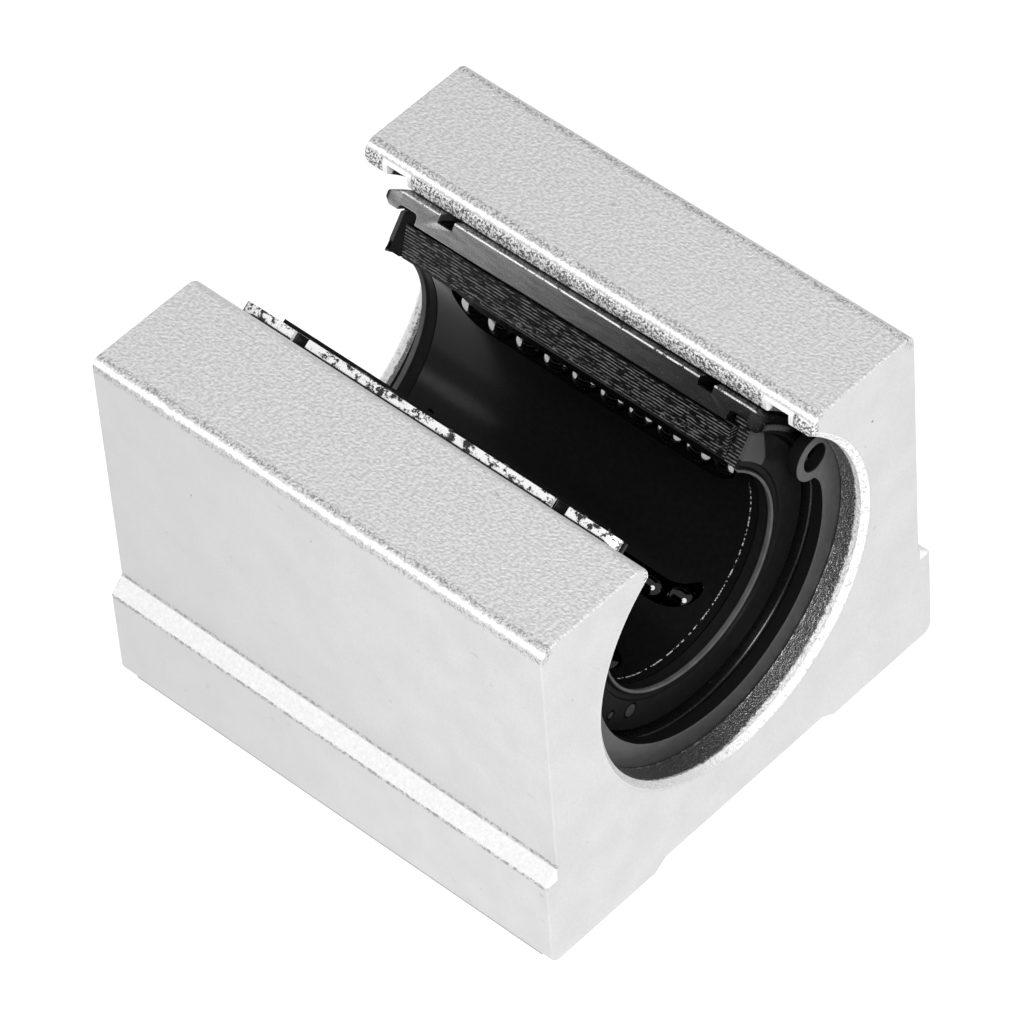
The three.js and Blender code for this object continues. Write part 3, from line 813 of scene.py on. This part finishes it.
def ball_material():
    s = Surface("ball_steel", grey(0.3), 0.05, 1.0)
    # Painted shade: balls below the shaft's centre are darker than those above.
    s.set("Base Color", s.mix(s.band(s.z, AXIS_Z - 2, AXIS_Z + 2), grey(0.06), grey(0.34)))
    s.set("Roughness", s.between(s.noise(1.8, 4, 0.7), 0.03, 0.09))
    s.set("Normal", s.bump(s.noise(5.0, 2, 0.5), 0.001, 0.3))
    return s.material


def screw_material():
    s = Surface("black_screw_steel", grey(0.03), 0.38, 0.8)
    s.set("Base Color", s.mix(s.noise(2.2, 4, 0.6), grey(0.02), grey(0.05)))
    s.set("Roughness", s.between(s.noise(5.0, 3, 0.6), 0.3, 0.5))
    s.set("Normal", s.bump(s.noise(7.0, 2, 0.5), 0.006, 0.5))
    return s.material


# ---------------------------------------------------------------- block


def block_outline():
    right = [
        (RECESS_HALF_WIDTH, RECESS_DEPTH, 0.25),
        (LAND_INNER_HALF_WIDTH, 0, 0.3),
        (BASE_HALF_WIDTH, 0, 1),
        (BASE_HALF_WIDTH, STEP_BOTTOM_Z, 0.35),
        (BODY_HALF_WIDTH, STEP_TOP_Z, 0.5),
        (BODY_HALF_WIDTH, HEIGHT, 0.9),
        (SLOT_HALF_WIDTH, HEIGHT, SLOT_NOSE_RADIUS),
        (SLOT_HALF_WIDTH, AXIS_Z, 0.1),
    ]
    return rounded(right + mirrored(right), 6)


def bore_cutter():
    """The bore, its end chamfers and its two snap-ring grooves, as one turned shape."""
    half = [
        (BORE_RADIUS, RING_GROOVE_INNER_Y),
        (RING_GROOVE_RADIUS, RING_GROOVE_INNER_Y),
        (RING_GROOVE_RADIUS, RING_GROOVE_OUTER_Y),
        (BORE_RADIUS, RING_GROOVE_OUTER_Y),
        (BORE_RADIUS, HALF_LENGTH - BORE_CHAMFER),
        (BORE_RADIUS + BORE_CHAMFER + OVERCUT, HALF_LENGTH + OVERCUT),
        (0, HALF_LENGTH + OVERCUT),
    ]
    other = [(radius, -y) for radius, y in reversed(half)]
    return turned("bore_cutter", other + half)


def mount_cutter(x, y):
    def limits(z):
        countersink = MOUNT_CREST_RADIUS + 0.3 - z
        return (max(countersink, 0), math.inf)

    return threaded("mount_cutter", (x, y), MOUNT_ROOT_RADIUS, MOUNT_CREST_RADIUS, MOUNT_PITCH,
                    -OVERCUT, MOUNT_DEPTH, limits, tip=DRILL_TIP)


def screw_hole_cutter():
    top = AXIS_Z - BORE_RADIUS + OVERCUT

    def limits(z):
        return (max(SCREW_HOLE_RADIUS + 0.4 - z, 0), math.inf)

    crest = SCREW_HOLE_RADIUS + 0.25
    return threaded("screw_hole_cutter", (0, 0), SCREW_HOLE_RADIUS, crest, SCREW_PITCH,
                    -OVERCUT, top, limits)


def build_block(material):
    block = prism("pillow_block", block_outline(), -HALF_LENGTH, HALF_LENGTH, BLOCK_EDGE)
    half = MOUNT_SPACING / 2
    mounts = [mount_cutter(x, y) for x in (-half, half) for y in (-half, half)]
    cut(block, bore_cutter(), *mounts, screw_hole_cutter())
    return finished(block, material, "block_aluminium", "block", "bearing_block")


# ---------------------------------------------------------------- ball circuits


class Circuit:
    """One closed track of balls: out along the load lane, round a turn and back."""

    def __init__(self, name):
        self.name = name
        low, high = box_mm(f"ball_{name}_{BALLS_PER_LANE // 2:02d}")
        centre = (low + high) / 2
        self.ball_radius = (high.x - low.x) / 2
        self.load_radius = math.hypot(centre.x, centre.z - AXIS_Z)
        self.load_angle = math.degrees(math.atan2(centre.x, centre.z - AXIS_Z))
        self.back_angle = self.load_angle - math.copysign(RETURN_OFFSET_ANGLE, self.load_angle)
        mean_radius = (self.load_radius + RETURN_RADIUS) / 2
        self.turn_radius = math.radians(RETURN_OFFSET_ANGLE / 2) * mean_radius
        self.half_loop = 2 * LANE_HALF_LENGTH + math.pi * self.turn_radius

    def place(self, distance):
        """(radius, angle, y) at a distance along the track from the middle of the load lane."""
        distance = (distance + self.half_loop) % (2 * self.half_loop) - self.half_loop
        run = abs(distance)
        turn = min(max(run - LANE_HALF_LENGTH, 0) / self.turn_radius, math.pi)
        share = (1 - math.cos(turn)) / 2
        lane = run if turn < math.pi else self.half_loop - run
        y = min(lane, LANE_HALF_LENGTH) + self.turn_radius * math.sin(turn)
        radius = self.load_radius + (RETURN_RADIUS - self.load_radius) * share
        angle = self.load_angle + (self.back_angle - self.load_angle) * share
        return radius, angle, math.copysign(y, distance)

    def point(self, distance):
        radius, angle, y = self.place(distance)
        x, z = polar(radius, angle)
        return Vector((x, y, z))

    def outward(self, distance):
        angle = math.radians(self.place(distance)[1])
        return Vector((math.sin(angle), 0, math.cos(angle)))

    def channel(self):
        """The closed channel that the balls roll in, open towards the sleeve."""
        depth = RETAINER_RADIUS + OVERCUT - self.load_radius
        floor = arc((0, 0), TRACK_RADIUS, 270, 90, 14)
        section = [*floor, Vector((TRACK_RADIUS, depth)), Vector((-TRACK_RADIUS, depth))]
        steps = 160
        sections = []
        for k in range(steps):
            distance = 2 * self.half_loop * k / steps
            here = self.point(distance)
            ahead = self.point(distance + 0.05) - self.point(distance - 0.05)
            up = self.outward(distance)
            across = ahead.cross(up).normalized()
            sections.append([here + across * p.x + up * p.y for p in section])
        return loft("channel_" + self.name, sections, closed=True)

    def return_ball_places(self):
        """Where the balls outside the load lane are, spaced evenly round the rest of the loop."""
        first, last = (box_mm(f"ball_{self.name}_{n:02d}") for n in (1, BALLS_PER_LANE))
        past_lane = (last[0].y - first[0].y) / 2 - LANE_HALF_LENGTH
        reach = LANE_HALF_LENGTH + self.turn_radius * math.asin(past_lane / self.turn_radius)
        step = 2 * (self.half_loop - reach) / (RETURN_BALLS + 1)
        return [self.point(reach + step * (k + 1)) for k in range(RETURN_BALLS)]


def ball_mesh(radius, centres):
    """Polished balls as one mesh."""
    mesh = bpy.data.meshes.new("balls")
    shape = bmesh.new()
    for centre in centres:
        where = Matrix.Translation(Vector(centre) * MM)
        bmesh.ops.create_icosphere(shape, subdivisions=4, radius=radius * MM, matrix=where)
    shape.to_mesh(mesh)
    shape.free()
    return mesh


def build_balls(circuit, material):
    for number in range(1, BALLS_PER_LANE + 1):
        node = f"ball_{circuit.name}_{number:02d}"
        low, high = box_mm(node)
        ball = ball_mesh(circuit.ball_radius, [(low + high) / 2])
        piece = bpy.data.objects.new("polished_" + node, ball)
        bpy.context.scene.collection.objects.link(piece)
        finished(piece, material, "ball_steel", node, node, sharp=60)
    rest = ball_mesh(circuit.ball_radius, circuit.return_ball_places())
    piece = bpy.data.objects.new("return_balls_" + circuit.name, rest)
    bpy.context.scene.collection.objects.link(piece)
    finished(piece, material, "ball_steel", "block", sharp=60)


# ---------------------------------------------------------------- sleeve and retainer


def sleeve_sectors(circuits):
    """(from, to, radius) sectors where the inside of the sleeve leaves its plain bore."""
    sectors = []
    for circuit in circuits:
        load = circuit.load_angle % 360
        back = circuit.back_angle % 360
        sectors.append((load - RACEWAY_HALF_ANGLE, load + RACEWAY_HALF_ANGLE, RACEWAY_RADIUS))
        sectors.append((back - RELIEF_HALF_ANGLE, back + RELIEF_HALF_ANGLE, RELIEF_RADIUS))
    return sectors


def sleeve_profile(lane_radius):
    """A (radius, y) section of the sleeve, whose inside differs along the ball lanes."""
    outer = SLEEVE_GROOVE_SPAN / 2
    inner = outer - SLEEVE_GROOVE_WIDTH
    end = SLEEVE_HALF_LENGTH
    lane = LANE_HALF_LENGTH + 0.5
    half = [
        (lane_radius, lane, 0.02),
        (SLEEVE_BORE_RADIUS, lane + 0.3, 0.02),
        (SLEEVE_BORE_RADIUS, SEAL_POCKET_INNER_Y, 0.1),
        (SEAL_POCKET_RADIUS, SEAL_POCKET_INNER_Y, 0.4),
        (SEAL_POCKET_RADIUS, SEAL_POCKET_OUTER_Y, 0.4),
        (SLEEVE_MOUTH_RADIUS, SEAL_POCKET_OUTER_Y, 0.12),
        (SLEEVE_MOUTH_RADIUS, end - SLEEVE_MOUTH_CHAMFER, 0.3),
        (SLEEVE_MOUTH_RADIUS + SLEEVE_MOUTH_CHAMFER, end, 0.12),
        (SLEEVE_RADIUS - SLEEVE_CHAMFER_WIDTH, end, 0.3),
        (SLEEVE_RADIUS, end - SLEEVE_CHAMFER_LENGTH, 0.6),
        (SLEEVE_RADIUS, outer, 0.05),
        (SLEEVE_GROOVE_RADIUS, outer, 0.12),
        (SLEEVE_GROOVE_RADIUS, inner, 0.12),
        (SLEEVE_RADIUS, inner, 0.05),
    ]
    other = [(radius, -y, edge) for radius, y, edge in reversed(half)]
    return rounded(half + other, 3)


def dimple_cutter():
    """The flat-bottomed dimple that the point of the set screw stands in."""
    radius = SCREW_HOLE_RADIUS - 0.35
    bottom = SLEEVE_LOW.z - OVERCUT
    profile = [(0, bottom), (radius, bottom), (radius, SCREW_TIP_Z + 0.2), (0, SCREW_TIP_Z + 0.25)]
    return turned_at("dimple_cutter", profile, (0, 0, 0), (0, 0, 1))


def build_sleeve(circuits, material):
    sectors = sleeve_sectors(circuits)
    blend = 0.4
    plain = SLEEVE_BORE_RADIUS - 0.001
    profiles = {radius: sleeve_profile(radius) for radius in (plain, RACEWAY_RADIUS, RELIEF_RADIUS)}

    def profile_at(angle):
        for start, stop, radius in sectors:
            if start <= angle <= stop:
                return profiles[radius]
        return profiles[plain]

    borders = [angle for start, stop, _ in sectors for angle in (start, stop)]
    marks = [angle + side * blend / 2 for angle in borders for side in (-1, 1)]
    stop = 360 - SLEEVE_LEFT_CUT_ANGLE
    sleeve = open_ring("bushing_sleeve", profile_at, SLEEVE_CUT_ANGLE, stop, 0.1, marks)
    cut(sleeve, dimple_cutter())
    return finished(sleeve, material, "sleeve_steel", "block", "outer_sleeve")


def ribbed_edge(start, stop):
    """Points along a cut face whose fine ridges run along the shaft."""
    run = stop - start
    inwards = Vector((run.y, -run.x)).normalized()
    samples = RIB_COUNT * 6
    points = []
    for k in range(samples + 1):
        t = k / samples
        groove = (1 - math.cos(2 * math.pi * t * RIB_COUNT)) / 2
        points.append(start + run * t + inwards * RIB_DEPTH * groove)
    return points


def retainer_outline():
    left_outer, left_inner = RETAINER_LEFT_CUT_ANGLES
    outer = shaft_arc(RETAINER_RADIUS, SLEEVE_CUT_ANGLE, 360 - left_outer)
    inner = shaft_arc(RETAINER_BORE_RADIUS, 360 - left_inner, RETAINER_INNER_CUT_ANGLE)
    left = ribbed_edge(outer[-1], inner[0])
    right = ribbed_edge(inner[-1], outer[0])
    return outer + left[1:-1] + inner + right[1:-1]


def build_retainer(circuits, material):
    end = RETAINER_HALF_LENGTH
    retainer = prism("ball_cage", retainer_outline(), -end, end)
    cut(retainer, *[circuit.channel() for circuit in circuits])
    return finished(retainer, material, "retainer_plastic", "block", "ball_retainer")


# ---------------------------------------------------------------- seals, snap rings, screw


def seal_profile(side):
    """A (radius, y) section: the bead on the outside, the disc, and the grooved lip inside."""
    lip = SEAL_LIP_RADIUS
    outer = SEAL_OUTER_Y
    corners = [
        (RETAINER_BORE_RADIUS, SEAL_DISC_INNER_Y, 0.08),
        (SEAL_BEAD_BORE_RADIUS, SEAL_DISC_INNER_Y, 0.05),
        (SEAL_BEAD_BORE_RADIUS, SEAL_BEAD_INNER_Y, 0.2),
        (SEAL_BEAD_RADIUS, SEAL_BEAD_INNER_Y, 0.5),
        (SEAL_BEAD_RADIUS, SEAL_BEAD_OUTER_Y, 0.5),
        (SEAL_RADIUS, SEAL_BEAD_OUTER_Y, 0.05),
        (SEAL_RADIUS, outer, 0.2),
        (11.2, outer, 0.08),
        (11.08, outer - 0.3, 0.08),
        (10.62, outer - 0.3, 0.08),
        (10.5, outer, 0.06),
        (lip, outer, 0.08),
        (RETAINER_BORE_RADIUS, outer - 0.8, 0.3),
    ]
    return [(p.x, side * p.y) for p in rounded(corners, 4)]


def pip_cutter(radius, angle, size, side):
    """The narrow moat round a moulded pip on the face of a seal."""
    x, z = polar(radius, angle)
    high, low = SEAL_OUTER_Y + OVERCUT, SEAL_OUTER_Y - 0.35
    wide = size + 0.16
    profile = [(size, high), (size, low), (wide, low), (wide, high)]
    return turned_at("pip_cutter", profile, (x, 0, z), (0, side, 0))


def build_seal(end, side, material):
    profile = seal_profile(side)
    stop = 360 - SEAL_CUT_ANGLE
    seal = open_ring(f"end_seal_{end}", lambda angle: profile, SEAL_CUT_ANGLE, stop, 0.15)
    cut(seal, *[pip_cutter(*pip, side) for pip in PIPS])
    return finished(seal, material, "seal_rubber", "block", f"seal_{end}")


def ring_ear():
    """The end of a snap ring: a hook from its inner edge into a round ear."""
    ear = polar(EAR_CENTRE_RADIUS, EAR_ANGLE)
    round_ear = arc(ear, EAR_RADIUS, EAR_ANGLE + 120, EAR_ANGLE + 355, 30)
    start = polar(RING_INNER_RADIUS, HOOK_ANGLE)
    bend = polar(RING_INNER_RADIUS, EAR_ANGLE + 12)
    hook = []
    for k in range(8):
        t = k / 8
        hook.append(start * (1 - t) ** 2 + bend * 2 * t * (1 - t) + round_ear[0] * t ** 2)
    return hook + round_ear


def ear_hole_cutter(hand, side):
    x, z = polar(EAR_CENTRE_RADIUS, hand * EAR_ANGLE)
    bevel = 0.12
    profile = [
        (0, RING_INNER_Y - OVERCUT),
        (EAR_HOLE_RADIUS + bevel + OVERCUT, RING_INNER_Y - OVERCUT),
        (EAR_HOLE_RADIUS, RING_INNER_Y + bevel),
        (EAR_HOLE_RADIUS, RING_OUTER_Y - bevel),
        (EAR_HOLE_RADIUS + bevel + OVERCUT, RING_OUTER_Y + OVERCUT),
        (0, RING_OUTER_Y + OVERCUT),
    ]
    return turned_at("ear_hole_cutter", profile, (x, 0, z), (0, side, 0))


def build_snap_ring(end, side, material):
    ear = ring_ear()
    outer = shaft_arc(RING_OUTER_RADIUS, EAR_ANGLE, 360 - EAR_ANGLE)
    inner = shaft_arc(RING_INNER_RADIUS, 360 - HOOK_ANGLE, HOOK_ANGLE)
    left_ear = [Vector((-p.x, p.y)) for p in reversed(ear)]
    outline = outer + left_ear[1:] + inner[1:-1] + ear[:-1]
    y0, y1 = sorted((side * RING_INNER_Y, side * RING_OUTER_Y))
    ring = prism(f"retaining_ring_{end}", outline, y0, y1, 0.1)
    cut(ring, ear_hole_cutter(1, side), ear_hole_cutter(-1, side))
    return finished(ring, material, "spring_steel", "block", f"snap_ring_{end}")


def build_screw(material):
    def limits(z):
        lead_in = SCREW_RADIUS - 0.3 + (z - SCREW_BOTTOM_Z)
        taper = 1 + (SCREW_TIP_Z - z)
        return (0, min(lead_in, taper, SCREW_RADIUS))

    screw = threaded("grub_screw", (0, 0), SCREW_RADIUS - 0.35, SCREW_RADIUS, SCREW_PITCH,
                     SCREW_BOTTOM_Z, SCREW_TIP_Z, limits)
    corners = [k * math.pi / 3 for k in range(6)]
    socket = [SOCKET_RADIUS * Vector((math.cos(a), math.sin(a))) for a in corners]
    heights = (SCREW_BOTTOM_Z - OVERCUT, SCREW_BOTTOM_Z + SOCKET_DEPTH)
    cut(screw, loft("socket_cutter", [[(p.x, p.y, z) for p in socket] for z in heights]))
    return finished(screw, material, "black_screw_steel", "block", "locking_set_screw")


# ---------------------------------------------------------------- camera, floor, light

CAMERA_AZIMUTH = -43.8817
CAMERA_ELEVATION = 47.8111
CAMERA_ROLL = -4.7186
CAMERA_TARGET = (0, 0, 16)
CAMERA_DISTANCE = 601.875
CAMERA_TO_RIGHT = -0.3407
CAMERA_UPWARDS = 1.019
CAMERA_SENSOR = 36
CAMERA_LENS = 252.485

FLOOR_HALF_WIDTH = 900
FLOOR_Z = -0.02

def camera_axes(azimuth, elevation, roll):
    """Right, up and back of a camera. Azimuth 0 looks along +Y."""
    a, e, r = (math.radians(v) for v in (azimuth, elevation, roll))
    back = Vector((math.sin(a) * math.cos(e), -math.cos(a) * math.cos(e), math.sin(e)))
    right = Vector((math.cos(a), math.sin(a), 0))
    up = back.cross(right)
    return (right * math.cos(r) + up * math.sin(r), up * math.cos(r) - right * math.sin(r), back)


def build_camera():
    right, up, back = camera_axes(CAMERA_AZIMUTH, CAMERA_ELEVATION, CAMERA_ROLL)
    place = Vector(CAMERA_TARGET) + back * CAMERA_DISTANCE
    place += right * CAMERA_TO_RIGHT + up * CAMERA_UPWARDS
    camera = bpy.data.objects.new("camera", bpy.data.cameras.new("camera"))
    camera.data.sensor_width = CAMERA_SENSOR
    camera.data.lens = CAMERA_LENS
    camera.data.clip_end = 10
    turn = Matrix((right, up, back)).transposed().to_4x4()
    camera.matrix_world = Matrix.Translation(place * MM) @ turn
    bpy.context.scene.collection.objects.link(camera)
    bpy.context.scene.camera = camera


def build_floor():
    """A white floor, left open under the block so that its mounting face can be looked at."""
    s = Surface("studio_floor", (0.2, 0.2, 0.2), 0.9)
    s.set("Emission Color", (1, 1, 1, 1))
    s.set("Emission Strength", 0.97)
    corners = [(-1, -1), (1, -1), (1, 1), (-1, 1)]
    opening = (BASE_HALF_WIDTH - 0.3, HALF_LENGTH - 1.5)
    reach = [(FLOOR_HALF_WIDTH, FLOOR_HALF_WIDTH), opening]
    vertices = [(u * x, v * y, FLOOR_Z) for x, y in reach for u, v in corners]
    faces = [(i, (i + 1) % 4, (i + 1) % 4 + 4, i + 4) for i in range(4)]
    floor = new_object("floor", vertices, faces)
    floor.data.materials.append(s.material)
    floor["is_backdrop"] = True


def area_light(name, place, size, power, target=(0, 0, 0.02)):
    light = bpy.data.lights.new(name, "AREA")
    light.shape = "DISK"
    light.size = size
    light.energy = power
    lamp = bpy.data.objects.new(name, light)
    lamp.location = place
    lamp.rotation_mode = "QUATERNION"
    lamp.rotation_quaternion = (Vector(target) - Vector(place)).to_track_quat("-Z", "Y")
    bpy.context.scene.collection.objects.link(lamp)


def build_light():
    world = bpy.data.worlds.new("studio")
    world.use_nodes = True
    background = world.node_tree.nodes["Background"]
    background.inputs["Color"].default_value = (1, 1, 1, 1)
    background.inputs["Strength"].default_value = 0.5
    bpy.context.scene.world = world
    area_light("key_light", (-0.28, -0.35, 0.54), 0.36, 4)
    area_light("glint_light", (-0.38, 0.24, 0.23), 0.1, 0.08)
    bpy.context.scene.view_settings.view_transform = "Standard"


# ---------------------------------------------------------------- assembly

circuits = [Circuit(name) for name in CIRCUITS]
build_block(block_material())
build_sleeve(circuits, sleeve_material())
build_retainer(circuits, retainer_material())
build_screw(screw_material())

seal_rubber = seal_material()
spring_steel = ring_material()
for end, side in ENDS.items():
    build_seal(end, side, seal_rubber)
    build_snap_ring(end, side, spring_steel)

ball_steel = ball_material()
for circuit in circuits:
    build_balls(circuit, ball_steel)

build_camera()
build_floor()
build_light()

sizes = {"cad": CAD_BOX, "visual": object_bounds()}
sizes = {model: [list(corner) for corner in box] for model, box in sizes.items()}
